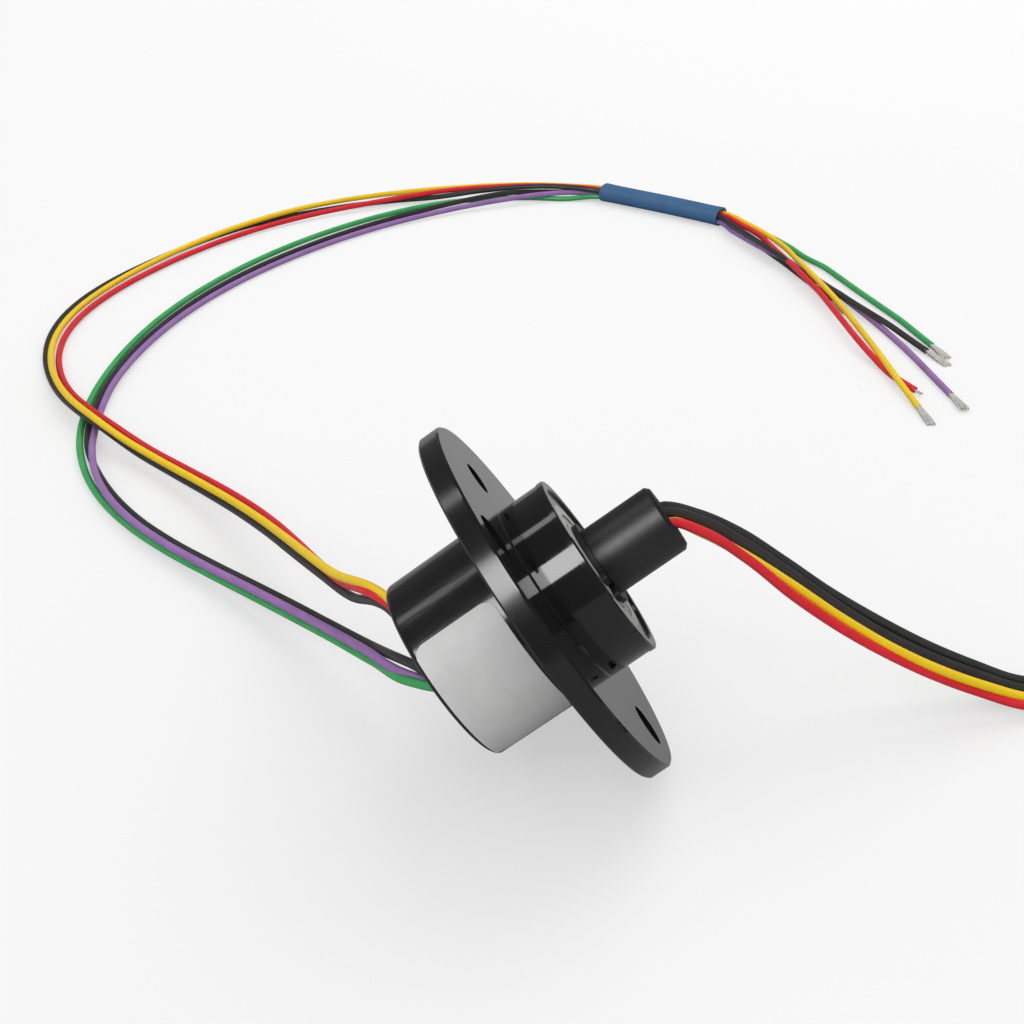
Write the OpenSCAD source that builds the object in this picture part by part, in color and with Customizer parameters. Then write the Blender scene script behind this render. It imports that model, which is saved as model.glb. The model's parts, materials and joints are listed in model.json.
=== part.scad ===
// Flanged capsule slip ring: a six-circuit rotor in a round housing, lying on its flange and leads.
// The working axis is local Z, with the front face of the flange at zero; seated() lays it down.

/* [Flange] */
// Outer diameter of the flange
flange_d = 44.5; // [40:0.5:54]
// Thickness of the flange
flange_t = 2.65; // [2.1:0.05:3.4]
// Chamfer on the two rim edges
rim_chamfer = 0.25; // [0.1:0.05:0.5]
// Pitch circle of the three large holes
large_pcd = 35; // [33:0.5:37]
// Diameter of the three large holes
large_hole_d = 4.9; // [3:0.1:5.4]
// Distance of the locating hole from the middle of the flange
locating_r = 15.25; // [14.5:0.25:16.5]
// Diameter of the locating hole
locating_hole_d = 3.9; // [2:0.1:4.2]

/* [Housing] */
// Diameter of the boss in front of the flange
boss_d = 21.8; // [21.6:0.1:24]
// Length of the boss, with the lip of the bearing cap
boss_l = 5.7; // [5.2:0.1:7]
// Diameter of the barrel where it leaves the flange
barrel_d = 22.3; // [21.9:0.1:25]
// Diameter of the barrel at its rear end
barrel_end_d = 22.1; // [21.2:0.1:24]
// Length of the barrel behind the flange
barrel_l = 12.6; // [12:0.1:18]
// Bore of the barrel
bore_d = 19.4; // [18.6:0.1:19.8]
// Rounding of the rear edge of the barrel
rear_round = 0.6; // [0.2:0.1:0.9]
// Diameter of the small pin hole in the boss
pin_hole_d = 0.8; // [0.5:0.1:1.2]

/* [Bearing cap] */
// Diameter of the lip at the front of the cap
lip_d = 22; // [21.8:0.1:24.5]
// Width of the lip
lip_w = 0.75; // [0.5:0.05:1.2]
// Diameter of the cap inside the boss
cap_d = 20.4; // [20:0.1:20.6]
// Diameter of the recess in front of the bearing
recess_d = 19.6; // [17:0.1:19.8]
// Depth of that recess
recess_depth = 0.3; // [0.2:0.1:1.2]

/* [Bearings] */
// Outer diameter of the front bearing
front_od = 16; // [15:0.1:16.6]
// Width of the front bearing
front_w = 5; // [4:0.5:5]
// Outer diameter of the rear bearing
rear_od = 11; // [10.5:0.1:12]
// Width of the rear bearing
rear_w = 4; // [3:0.5:4]

/* [Rotor] */
// Diameter of the shaft and its nose
shaft_d = 8.1; // [7.4:0.1:8.6]
// Length of the nose in front of the lip
nose_l = 9.1; // [7:0.1:14]
// Chamfer on the end of the nose
nose_chamfer = 0.45; // [0.2:0.05:0.8]
// Bore of the nose, which the leads fill
nose_bore_d = 4.9; // [4.8:0.1:5.2]
// Diameter of the rear journal
journal_d = 5; // [4.6:0.1:5.6]
// Diameter of the core that carries the contact rings
core_d = 6; // [5.7:0.1:6.6]
// Diameter of the contact rings
ring_d = 9; // [8.4:0.1:9.2]
// Width of one contact ring
ring_w = 0.7; // [0.7:0.02:0.76]
// Diameter of the insulating barriers
barrier_d = 10.4; // [10:0.1:11]
// Thickness of one barrier
barrier_t = 0.45; // [0.36:0.02:0.48]

/* [Leads] */
// Outer diameter of one lead
lead_d = 1.12; // [0.8:0.04:1.16]
// Diameter of the tinned conductor at a stripped end
strand_d = 0.75; // [0.4:0.05:0.75]
// Length of a stripped end
strip_l = 4.2; // [2:0.1:5]
// Width of the heat-shrink sleeve
sleeve_w = 4.4; // [4.2:0.1:4.6]
// Height of the heat-shrink sleeve
sleeve_h = 3.4; // [3.2:0.05:3.4]

/* [Hidden] */

circuits = 6;
lie_angle = 33.6;
seat_gap = 0.02;
run_gap = 0.04;
edge = 0.15;
hole_turn = 29;
label_t = 0.12;
label_corner = 1.4;
label_from = 219;
label_to = 313;
label_front = 2.1;
label_rear = 0.5;
pin_hole_z = 1.15;
pin_hole_turn = 301;

// Positions along the axis, worked out from the flange forwards and backwards
rear_z = -flange_t - barrel_l;
lip_z = boss_l - lip_w;
nose_z = boss_l + nose_l;
front_bearing_z = boss_l - recess_depth;
shoulder_z = front_bearing_z - front_w;
cap_rear_z = shoulder_z - 0.6;
stack_z = shoulder_z - 0.5;
stack_end_z = stack_z - circuits * ring_w - (circuits + 1) * barrier_t;
rear_disc_z = rear_z + 1.5;
rear_bearing_z = rear_disc_z + rear_w;
plug_face_z = nose_z - 0.1;

// How the part lies: the rim of the flange stands on the surface and the ends are centred
rear_reach = (barrel_l + flange_t - rear_round) * cos(lie_angle)
    + (barrel_end_d / 2 - rear_round) * sin(lie_angle) + rear_round;
nose_reach = nose_z * cos(lie_angle) + (shaft_d / 2 - nose_chamfer) * sin(lie_angle);
seat_x = (rear_reach - nose_reach) / 2;
seat_z = (flange_t - rim_chamfer) * sin(lie_angle) + flange_d / 2 * cos(lie_angle);

// Lead exits on the rear end, and the directions in which the leads start
upper_exit = [-4.6, 4.6];
lower_exit = [1.0, -1.4];
exit_d = 4.2;
axis_dir = [cos(lie_angle), 0, sin(lie_angle)];
lead_pitch = 1.25;

function seat_point(p) = [
    seat_x + p.x * sin(lie_angle) + p.z * cos(lie_angle),
    p.y,
    seat_z - p.x * cos(lie_angle) + p.z * sin(lie_angle)
];

// Routes of the leads, as points of the surface's frame, with the height above it last
green_way = [
    [-10.02, -2.14, 10.59], [-14.07, 2.11, 7.99], [-17.18, 10.69, 6.58], [-20.97, 19.22, 4.85],
    [-25.36, 28.05, 3.2], [-30, 36.26, 2.04], [-35.35, 44.67, 1.24], [-40.59, 52.58, 0.82],
    [-45.46, 60.73, 0.65], [-49.24, 68.88, 0.61], [-51.89, 77.47, 0.61], [-53.35, 86.34, 0.62],
    [-53.67, 95.32, 0.64], [-52.79, 104.77, 0.65], [-51.01, 114.1, 0.67], [-48.5, 123.26, 0.68],
    [-45.36, 132.22, 0.69], [-41.59, 140.94, 0.7], [-37.19, 149.35, 0.71], [-32.19, 157.43, 0.71],
    [-26.34, 165.53, 0.72], [-20.27, 172.83, 0.73], [-13.7, 179.69, 0.74], [-6.63, 186.04, 0.76],
    [0.95, 191.76, 0.79], [9.03, 196.74, 0.84], [17.15, 200.6, 0.88], [25.24, 203.14, 0.82],
    [33.65, 204.19, 0.62], [42.1, 203.54, 0.6], [50.09, 201.05, 0.6], [58.88, 198.77, 1.12]
];
black_2_way = [
    [-10.36, -1.04, 11.11], [-13.71, 6.25, 9.8], [-17.18, 13.92, 6.87], [-20.82, 22.45, 4.82],
    [-24.87, 30.89, 3.18], [-29.51, 39.1, 2], [-34.63, 47.07, 1.24], [-39.83, 55.01, 0.82],
    [-44.56, 63.25, 0.65], [-48.14, 71.5, 0.61], [-50.7, 80.13, 0.6], [-52.25, 88.48, 0.6],
    [-52.39, 97.46, 0.6], [-51.24, 106.4, 0.63], [-49.34, 115.2, 0.65], [-46.59, 124.29, 0.68],
    [-43.16, 133.15, 0.7], [-39.08, 141.74, 0.71], [-34.65, 149.57, 0.72], [-29.38, 157.48, 0.73],
    [-23.53, 164.97, 0.73], [-17.16, 172.02, 0.73], [-10.33, 178.63, 0.73], [-3.08, 184.77, 0.75],
    [4.6, 190.36, 0.79], [12.28, 195.05, 0.87], [20.79, 199.27, 1.06], [28.74, 202.24, 1.4],
    [37.49, 204.26, 1.72], [45.45, 204.7, 1.45], [53.29, 203.35, 1.22], [60.72, 200.43, 1.12]
];
violet_way = [
    [-9.67, -1.04, 10.06], [-14.42, 5.24, 8.78], [-18.32, 12.08, 7.71], [-22.32, 21.05, 5.8],
    [-26.23, 29.03, 4.3], [-30.89, 37.23, 3.14], [-36, 45.21, 2.39], [-41.15, 53.2, 2],
    [-45.52, 61.06, 1.85], [-48.74, 68.92, 1.78], [-50.79, 77.17, 1.78], [-51.5, 85.63, 1.81],
    [-51.32, 94.58, 1.03], [-50.55, 103.02, 0.84], [-48.91, 111.89, 1.03], [-46.37, 121.05, 0.95],
    [-43.29, 129.51, 0.86], [-39.38, 138.18, 0.8], [-35.05, 146.07, 0.76], [-29.84, 154.02, 0.74],
    [-24.36, 161.16, 0.73], [-18.05, 168.28, 0.73], [-11.64, 174.6, 0.74], [-4.43, 180.8, 0.76],
    [2.81, 186.14, 0.79], [10.92, 191.1, 0.85], [19.03, 195.01, 0.99], [27.49, 198.07, 1.23],
    [36.21, 200.31, 1.51], [44.6, 201.58, 1.74], [52.68, 201.67, 1.74], [59.8, 199.6, 1.12]
];
black_1_way = [
    [-13.11, 3.86, 15.25], [-16.71, 8.81, 12.78], [-18.63, 18.07, 11.24], [-21.48, 27.95, 9.02],
    [-24.19, 37.88, 6.88], [-27.08, 47.81, 5], [-30.44, 57.12, 3.49], [-34.49, 66.19, 2.31],
    [-39.23, 74.98, 1.6], [-44.77, 83.91, 1.59], [-49.94, 92.49, 2.23], [-54.17, 100.98, 1.9],
    [-57.36, 109.91, 1.19], [-59.6, 119.65, 0.8], [-60.56, 129.1, 0.7], [-60.1, 138.59, 0.72],
    [-58.23, 147.39, 0.76], [-54.81, 156.24, 0.78], [-50.16, 164.53, 0.77], [-44.31, 172.65, 0.74],
    [-37.8, 180.26, 0.74], [-30.74, 187.35, 0.78], [-23.02, 193.72, 0.79], [-15.01, 198.83, 0.71],
    [-6.36, 202.74, 0.63], [2.78, 205.34, 0.71], [12.18, 206.78, 0.76], [21.68, 207.02, 0.9],
    [31.58, 206.18, 1.99], [41.44, 204.72, 2.8], [50.22, 202.53, 2.94], [58.88, 198.77, 2.36]
];
red_way = [
    [-12.77, 4.96, 14.73], [-16.36, 12.53, 13.83], [-19.7, 21.22, 11.81], [-21.81, 30.73, 9.55],
    [-23.6, 40.3, 7.23], [-25.85, 49.84, 5.24], [-28.99, 59.2, 3.67], [-32.81, 67.82, 2.51],
    [-37.57, 76.57, 1.68], [-42.91, 85.03, 1.49], [-48.29, 93.47, 2.12], [-52.66, 101.9, 2.09],
    [-55.78, 110.82, 1.34], [-57.61, 119.61, 0.92], [-58.26, 129.08, 0.75], [-57.44, 138.02, 0.74],
    [-55.14, 146.71, 0.76], [-51.33, 155.4, 0.76], [-46.49, 163.58, 0.75], [-40.61, 171.66, 0.74],
    [-34.08, 179.24, 0.76], [-26.92, 186.22, 0.8], [-19.49, 192.13, 0.87], [-11.42, 197.13, 0.98],
    [-2.78, 201.06, 1.15], [6.75, 204.08, 1.43], [16.48, 206.27, 1.88], [26.34, 207.91, 2.15],
    [35.33, 208.46, 2.1], [43.74, 207.44, 2.2], [51.68, 204.52, 2.35], [59.8, 199.6, 2.42]
];
yellow_way = [
    [-13.46, 4.96, 15.78], [-17.35, 12.39, 14.54], [-20.4, 21.23, 12.86], [-22.96, 31.13, 10.4],
    [-25.33, 41.07, 7.94], [-28.06, 50.49, 5.95], [-31.79, 60.18, 4.35], [-36.14, 69.13, 3.26],
    [-41.16, 77.76, 2.74], [-46.57, 86.19, 2.92], [-51.6, 94.83, 3.48], [-55.27, 103.58, 2.98],
    [-57.77, 112.72, 2.33], [-59.25, 122.6, 1.74], [-59.47, 132.09, 1.34], [-58.33, 141.51, 1.08],
    [-55.71, 150.63, 0.95], [-51.71, 159.24, 0.95], [-46.36, 167.7, 1.07], [-40.22, 175.6, 1.26],
    [-33.48, 183, 1.46], [-26.12, 189.77, 1.68], [-18.19, 195.87, 1.83], [-9.47, 201.74, 1.8],
    [-0.78, 206.68, 1.44], [8.02, 210.25, 1.12], [17.26, 212.38, 0.98], [26.24, 213.04, 1.01],
    [35.69, 212.25, 1.25], [44.37, 209.95, 1.63], [52.9, 205.83, 2.04], [60.72, 200.43, 2.36]
];
sleeve_route = [[59.8, 199.6, 1.74], [64.7, 194.1, 1.74], [69.9, 188.4, 1.74], [74.8, 182.9, 1.74], [79.6, 177.5, 1.74]];
sleeve_in = [0.67, -0.742, 0];
sleeve_out = [0.661, -0.75, 0];

// From the sleeve to each stripped end
black_2_fan = [
    [79.6, 177.5, 1.12], [80.93, 172.66, 1.06], [81.56, 167.19, 1.03], [82.42, 161.26, 0.94],
    [83.31, 155.32, 0.8], [83.92, 149.86, 0.6], [84.27, 143.87, 0.6], [84.62, 137.87, 0.6],
    [84.81, 132.38, 0.6], [84.71, 126.37, 0.6], [84.44, 120.88, 0.6], [84.04, 114.89, 0.6],
    [83.59, 108.91, 0.6]
];
violet_fan = [
    [78.67, 176.68, 1.12], [79.76, 169.23, 1.3], [81.08, 161.84, 1.42], [82.46, 154.46, 1.64],
    [84.18, 147.66, 1.77], [86.11, 140.95, 1.12], [87.7, 134.13, 0.78], [88.54, 127.17, 0.64],
    [89.11, 119.68, 0.6], [89.47, 112.17, 0.6], [89.63, 104.15, 0.6], [89.49, 96.63, 0.6],
    [89.15, 89.12, 0.6], [88.8, 81.1, 0.6]
];
green_fan = [
    [80.53, 178.32, 1.12], [83.4, 173.63, 1.06], [85.42, 169.08, 0.99], [87.09, 163.85, 0.9],
    [88.55, 158.03, 0.79], [89.88, 151.67, 0.7], [90.91, 145.76, 0.65], [91.87, 139.33, 0.62],
    [92.78, 132.89, 0.61], [93.55, 126.95, 0.6], [94.17, 120.48, 0.6], [94.5, 114.49, 0.6],
    [94.64, 108.49, 0.6], [94.67, 101.99, 0.6]
];
black_1_fan = [
    [78.67, 176.68, 2.36], [79.61, 170.24, 2.52], [80.31, 164.28, 2.67], [81.15, 157.82, 2.74],
    [82.19, 151.91, 2.64], [83.54, 146.08, 2.25], [85.08, 140.3, 1.55], [86.38, 134.96, 1.37],
    [87.41, 129.04, 1.52], [88.15, 123.09, 1.61], [88.96, 117.14, 1.76], [90.16, 111.26, 1.65],
    [91.59, 105.46, 1.08], [92.93, 99.62, 0.6]
];
red_fan = [
    [79.6, 177.5, 2.36], [81.65, 170.78, 2.31], [83.7, 163.55, 1.95], [85.15, 156.69, 1.64],
    [85.81, 149.71, 1.87], [85.78, 143.23, 2.57], [85.19, 136.25, 2.59], [84.7, 128.74, 2],
    [84.13, 120.73, 1.81], [83.5, 113.22, 1.77], [82.85, 105.25, 2], [82.64, 98.77, 1.12],
    [83.03, 91.78, 0.6], [83.75, 84.26, 0.6]
];
yellow_fan = [
    [80.53, 178.32, 2.36], [83.35, 170.84, 2.21], [85.54, 163.68, 1.8], [86.88, 156.32, 1.48],
    [87.2, 148.85, 1.59], [86.76, 140.88, 2.28], [86.23, 132.92, 2.54], [86.16, 125.45, 1.89],
    [86.05, 117.49, 1.12], [85.36, 109.53, 0.87], [84.37, 101.61, 1.37], [83.16, 93.7, 1.85],
    [82.09, 85.8, 1.34], [81.23, 77.37, 0.64]
];

// From the nose to the coil
black_1_rotor = [
    [14.03, 1.62, 28.48], [18.35, 1.61, 28.88], [22.94, 1.6, 24.44], [28.93, 1.53, 19.85],
    [34.58, 1.37, 15.65], [40.84, 0.94, 11.46], [47.26, 0.13, 7.57], [53, -1.01, 4.69],
    [58.57, -2.42, 2.94], [64.43, -3.54, 2.27], [70.94, -3.81, 2.28], [77.97, -3.32, 2.45]
];
black_2_rotor = [
    [14.03, 0.42, 28.48], [18.36, 0.32, 28.87], [22.89, 0.37, 24.47], [28.85, 0.3, 19.91],
    [34.86, 0.1, 15.43], [41.07, -0.36, 11.25], [47, -1.13, 7.61], [52.69, -2.26, 4.7], [58.7, -3.77, 2.85],
    [64.54, -4.84, 2.26], [71.02, -5.09, 2.28], [78, -4.62, 2.45]
];
green_rotor = [
    [14.73, 1.62, 27.51], [18.33, 1.76, 25.71], [23.34, 1.62, 22.56], [29.3, 1.52, 17.97],
    [35.41, 1.32, 13.59], [41.27, 0.89, 9.74], [47.26, 0.12, 6.16], [53.02, -1.04, 3.37],
    [58.61, -2.43, 1.69], [64.47, -3.53, 1.04], [70.96, -3.8, 1.04], [77.97, -3.32, 1.21]
];
violet_rotor = [
    [14.73, 0.42, 27.51], [18.8, 0.53, 25.44], [24.14, 0.38, 21.93], [30.12, 0.27, 17.35],
    [35.84, 0.04, 13.26], [41.69, -0.44, 9.4], [47.68, -1.26, 5.82], [53.46, -2.47, 3.08],
    [59.09, -3.86, 1.54], [64.48, -4.82, 1.03], [70.99, -5.09, 1.04], [78, -4.62, 1.21]
];
red_rotor = [
    [14.2, -1.72, 28.24], [17.97, -2.05, 27.07], [22.99, -2.4, 23.88], [28.41, -3.12, 19.47],
    [34.16, -3.9, 14.68], [40.19, -4.41, 10.2], [46.11, -4.73, 6.44], [51.89, -5.1, 3.48],
    [57.58, -5.73, 1.72], [64.02, -6.37, 1.04], [71.03, -6.44, 1.03], [78.03, -5.92, 1.23]
];
yellow_rotor = [
    [14.55, -0.68, 27.75], [18.29, -0.95, 26.37], [22.89, -1.28, 23.41], [28.55, -1.93, 19.27],
    [34.75, -2.93, 15.08], [41.01, -4.04, 11.03], [46.97, -4.73, 7.34], [52.78, -5.22, 4.42],
    [58.03, -5.81, 2.87], [64.48, -6.42, 2.24], [71.01, -6.44, 2.28], [78.03, -5.92, 2.43]
];
coil_centre = [78, -20];
coil_r = 13.5;
coil_turns = 2;
coil_levels = 2;
coil_width = coil_turns * circuits / coil_levels * lead_pitch;
coil_height = coil_levels * lead_pitch;
tie_t = 0.6;
tie_w = 3;
tie_turn = -140;
tail_turn = 108;
tail_dir = -34;
tail_l = 10;

// Vectors along a route

function left_of(t) = [-t.y, t.x, 0] / norm([t.x, t.y]);

function gap_after(p, i) = norm(p[i + 1] - p[i]);

function slope(p, i, first, last) =
    i == 0 ? first :
    i == len(p) - 1 ? last :
    let (a = gap_after(p, i - 1), b = gap_after(p, i))
    ((p[i + 1] - p[i]) * a / b + (p[i] - p[i - 1]) * b / a) / (a + b);

function between(p, q, m, n, h, u) =
    (2 * u ^ 3 - 3 * u ^ 2 + 1) * p + (u ^ 3 - 2 * u ^ 2 + u) * h * m
    + (3 * u ^ 2 - 2 * u ^ 3) * q + (u ^ 3 - u ^ 2) * h * n;

function smooth(p, first, last, steps) = [
    for (i = [0 : len(p) - 2])
        let (m = slope(p, i, first, last), n = slope(p, i + 1, first, last))
        for (k = [0 : steps - 1]) between(p[i], p[i + 1], m, n, gap_after(p, i), k / steps),
    p[len(p) - 1]
];

function hoop(c, t, w, h, sides) =
    let (side = left_of(t), up = cross(t, side) / norm(t))
    [for (k = [0 : sides - 1]) c + w / 2 * cos(360 * k / sides) * side + h / 2 * sin(360 * k / sides) * up];

// A solid swept along a smooth route, round or d wide and h high, with flat ends square to its end directions
module tube(p, first, last, d, steps = 2, sides = 8, h = 0) {
    high = h > 0 ? h : d;
    q = [for (c = smooth(p, first, last, steps)) [c.x, c.y, max(c.z, high / 2 + seat_gap)]];
    rings = len(q);
    points = [
        for (i = [0 : rings - 1])
            each hoop(q[i], i == 0 ? first : i == rings - 1 ? last : q[i + 1] - q[i - 1], d, high, sides)
    ];
    walls = [
        for (i = [0 : rings - 2], k = [0 : sides - 1])
            let (a = i * sides + k, b = i * sides + (k + 1) % sides)
            each [[a, a + sides, b + sides], [a, b + sides, b]]
    ];
    caps = [
        for (k = [1 : sides - 2])
            each [[0, k, k + 1], [(rings - 1) * sides, (rings - 1) * sides + k + 1, (rings - 1) * sides + k]]
    ];
    polyhedron(points, concat(walls, caps));
}

module seated() {
    translate([seat_x, 0, seat_z]) rotate([0, 90 - lie_angle, 0]) children();
}

module around(count, radius, turn = 0) {
    for (k = [0 : count - 1]) rotate(turn + k * 360 / count) translate([radius, 0, 0]) children();
}

module washer(outer_d, inner_d, from_z, height) {
    translate([0, 0, from_z])
        rotate_extrude($fn = 96) translate([inner_d / 2, 0]) square([(outer_d - inner_d) / 2, height]);
}

// Housing

module flange_housing() {
    r_end = barrel_end_d / 2;
    rear_arc = [for (a = [0 : 15 : 90])
        [r_end - rear_round + rear_round * cos(a), rear_z + rear_round - rear_round * sin(a)]];
    color("#1b1b1c") seated() difference() {
        rotate_extrude($fn = 128) polygon(concat(
            [
                [cap_d / 2, lip_z], [boss_d / 2, lip_z], [boss_d / 2, edge], [boss_d / 2 + edge, 0],
                [flange_d / 2 - rim_chamfer, 0], [flange_d / 2, -rim_chamfer],
                [flange_d / 2, -flange_t + rim_chamfer], [flange_d / 2 - rim_chamfer, -flange_t],
                [barrel_d / 2, -flange_t]
            ],
            rear_arc,
            [[bore_d / 2, rear_z], [bore_d / 2, cap_rear_z], [cap_d / 2, cap_rear_z]]
        ));
        around(3, large_pcd / 2, 60 + hole_turn)
            translate([0, 0, -flange_t - 1]) cylinder(d = large_hole_d, h = flange_t + 2, $fn = 48);
        rotate(hole_turn + 120) translate([locating_r, 0, -flange_t - 1])
            cylinder(d = locating_hole_d, h = flange_t + 2, $fn = 48);
        rotate(pin_hole_turn) translate([cap_d / 2 - 0.3, 0, pin_hole_z])
            rotate([0, 90, 0]) cylinder(d = pin_hole_d, h = boss_d / 2 - cap_d / 2 + 1, $fn = 24);
    }
}

module front_bearing_cap() {
    color("#202021") seated() rotate_extrude($fn = 128) polygon([
        [front_od / 2 + seat_gap, front_bearing_z], [recess_d / 2, front_bearing_z],
        [recess_d / 2, boss_l - edge], [recess_d / 2 + edge, boss_l], [lip_d / 2 - edge, boss_l],
        [lip_d / 2, boss_l - edge], [lip_d / 2, lip_z], [cap_d / 2 - seat_gap, lip_z],
        [cap_d / 2 - seat_gap, cap_rear_z], [front_od / 2 - 0.9, cap_rear_z],
        [front_od / 2 - 0.9, shoulder_z], [front_od / 2 + seat_gap, shoulder_z]
    ]);
}

module rear_cap() {
    color("#19191a") seated() difference() {
        rotate_extrude($fn = 96) polygon([
            [0, rear_z + 0.3], [bore_d / 2 - seat_gap, rear_z + 0.3], [bore_d / 2 - seat_gap, rear_disc_z + 1],
            [bore_d / 2 - 0.8, rear_disc_z + 1], [bore_d / 2 - 0.8, rear_disc_z],
            [rear_od / 2 + 1, rear_disc_z], [rear_od / 2 + 1, rear_bearing_z],
            [rear_od / 2 + seat_gap, rear_bearing_z], [rear_od / 2 + seat_gap, rear_disc_z], [0, rear_disc_z]
        ]);
        for (p = [upper_exit, lower_exit])
            translate([p.x, p.y, rear_z - 1]) cylinder(d = exit_d, h = rear_disc_z - rear_z + 1.01, $fn = 48);
    }
}

module lead_potting(p) {
    color("#2a2724") seated() translate([p.x, p.y, rear_z + seat_gap])
        cylinder(d = exit_d - 2 * seat_gap, h = rear_disc_z - rear_z - 0.1, $fn = 48);
}

module label() {
    taper = (barrel_d - barrel_end_d) / 2 / (barrel_l - rear_round);
    z_front = -flange_t - label_front;
    z_rear = rear_z + label_rear;
    function wall(z) = barrel_d / 2 + (z + flange_t) * taper + 0.01;
    corner_turn = label_corner / (barrel_d / 2) * 180 / PI;
    color("#d9d9d6") seated() difference() {
        rotate([0, 0, label_from]) rotate_extrude(angle = label_to - label_from, $fn = 128) polygon([
            [wall(z_front), z_front], [wall(z_front) + label_t, z_front],
            [wall(z_rear) + label_t, z_rear], [wall(z_rear), z_rear]
        ]);
        for (end = [[label_from, 1], [label_to, -1]], side = [[z_front, -1], [z_rear, 1]])
            rotate(end[0] + end[1] * corner_turn) translate([barrel_d / 2 - 1, 0, side[0] + side[1] * label_corner])
                rotate([0, 90, 0]) difference() {
                    translate([side[1] > 0 ? 0 : -2 * label_corner, end[1] > 0 ? -2 * label_corner : 0, 0])
                        cube([2 * label_corner, 2 * label_corner, 2]);
                    translate([0, 0, -1]) cylinder(r = label_corner, h = 4, $fn = 32);
                }
    }
}

// Bearings

module bearing_ring(bore, land, width, from_z, pitch_r, ball_r) {
    r0 = min(bore, land) / 2;
    r1 = max(bore, land) / 2;
    seated() translate([0, 0, from_z]) rotate_extrude($fn = 96) difference() {
        translate([r0, 0]) square([r1 - r0, width]);
        translate([pitch_r, width / 2]) circle(r = ball_r + run_gap, $fn = 32);
    }
}

module bearing_balls(count, pitch_r, ball_r, mid_z) {
    seated() around(count, pitch_r) translate([0, 0, mid_z]) sphere(r = ball_r, $fn = 24);
}

front_pitch_r = (front_od + shaft_d) / 4;
front_ball_r = (front_od - shaft_d) / 8;
front_land = 0.68;
rear_pitch_r = (rear_od + journal_d) / 4;
rear_ball_r = (rear_od - journal_d) / 7.5;
rear_land = 0.7;

module front_bearing_outer_ring() {
    color("silver") bearing_ring(front_od, 2 * (front_pitch_r + front_land), front_w, shoulder_z,
        front_pitch_r, front_ball_r);
}

module front_bearing_inner_ring() {
    color("silver") bearing_ring(shaft_d + 2 * seat_gap, 2 * (front_pitch_r - front_land), front_w, shoulder_z,
        front_pitch_r, front_ball_r);
}

module front_bearing_balls() {
    color("gainsboro") bearing_balls(9, front_pitch_r, front_ball_r, shoulder_z + front_w / 2);
}

module front_bearing_cage() {
    mid_z = shoulder_z + front_w / 2;
    color("peru") seated() difference() {
        washer(2 * front_pitch_r + 0.8, 2 * front_pitch_r - 0.8, mid_z - 0.6, 1.2);
        around(9, front_pitch_r) translate([0, 0, mid_z]) sphere(r = front_ball_r + seat_gap, $fn = 24);
    }
}

module front_bearing_shield() {
    color("#8f9294") seated() washer(2 * (front_pitch_r + front_land) - 2 * seat_gap,
        2 * (front_pitch_r - front_land) + 0.3, front_bearing_z - 0.45, 0.25);
}

module rear_bearing_outer_ring() {
    color("silver") bearing_ring(rear_od, 2 * (rear_pitch_r + rear_land), rear_w, rear_disc_z,
        rear_pitch_r, rear_ball_r);
}

module rear_bearing_inner_ring() {
    color("silver") bearing_ring(journal_d + 2 * seat_gap, 2 * (rear_pitch_r - rear_land), rear_w, rear_disc_z,
        rear_pitch_r, rear_ball_r);
}

module rear_bearing_balls() {
    color("gainsboro") bearing_balls(7, rear_pitch_r, rear_ball_r, rear_disc_z + rear_w / 2);
}

// Rotor

module rotor_shaft() {
    r = shaft_d / 2;
    groove_z = front_bearing_z + seat_gap;
    color("#242425") seated() rotate_extrude($fn = 96) polygon([
        [0, rear_disc_z + 0.2], [journal_d / 2, rear_disc_z + 0.2], [journal_d / 2, stack_end_z],
        [core_d / 2, stack_end_z], [core_d / 2, stack_z], [r + 0.8, stack_z], [r + 0.8, shoulder_z],
        [r, shoulder_z], [r, groove_z], [r - 0.3, groove_z], [r - 0.3, groove_z + 0.64], [r, groove_z + 0.64],
        [r, nose_z - nose_chamfer], [r - nose_chamfer, nose_z], [nose_bore_d / 2, nose_z],
        [nose_bore_d / 2, shoulder_z + 1], [core_d / 2 - 1.1, shoulder_z], [core_d / 2 - 1.1, stack_end_z + 1],
        [0, stack_end_z + 1]
    ]);
}

module retaining_ring() {
    r = shaft_d / 2 - 0.3 + seat_gap;
    color("#5d6063") seated() translate([0, 0, front_bearing_z + seat_gap + 0.02]) difference() {
        linear_extrude(0.6) union() {
            difference() {
                circle(r = r + 1.25, $fn = 64);
                circle(r = r, $fn = 64);
            }
            for (s = [-1, 1]) translate([s * 1.3, -r - 1.35]) circle(r = 0.75, $fn = 24);
        }
        translate([-0.55, -r - 3, -1]) cube([1.1, 3.1, 3]);
        for (s = [-1, 1]) translate([s * 1.3, -r - 1.35, -1]) cylinder(r = 0.32, h = 3, $fn = 20);
    }
}

module nose_plug() {
    color("#101010") seated() translate([0, 0, plug_face_z - 1.2 - seat_gap])
        cylinder(d = nose_bore_d - 2 * seat_gap, h = 1.2, $fn = 48);
}

function ring_mid_z(i) = stack_z - i * barrier_t - (i - 0.5) * ring_w;
groove_step = 0.18;
groove_depth = 0.14;
brush_d = 0.2;
brush_y = ring_d / 2 - groove_depth + brush_d / 2 + run_gap;

module contact_ring(i) {
    r = ring_d / 2;
    color("gold") seated() rotate_extrude($fn = 96) difference() {
        translate([core_d / 2 + seat_gap, ring_mid_z(i) - ring_w / 2])
            square([r - core_d / 2 - seat_gap, ring_w]);
        for (s = [-1, 1]) translate([r - groove_depth, ring_mid_z(i) + s * groove_step])
            polygon([[0, 0], [groove_depth + 0.1, 0.16], [groove_depth + 0.1, -0.16]]);
    }
}

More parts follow.
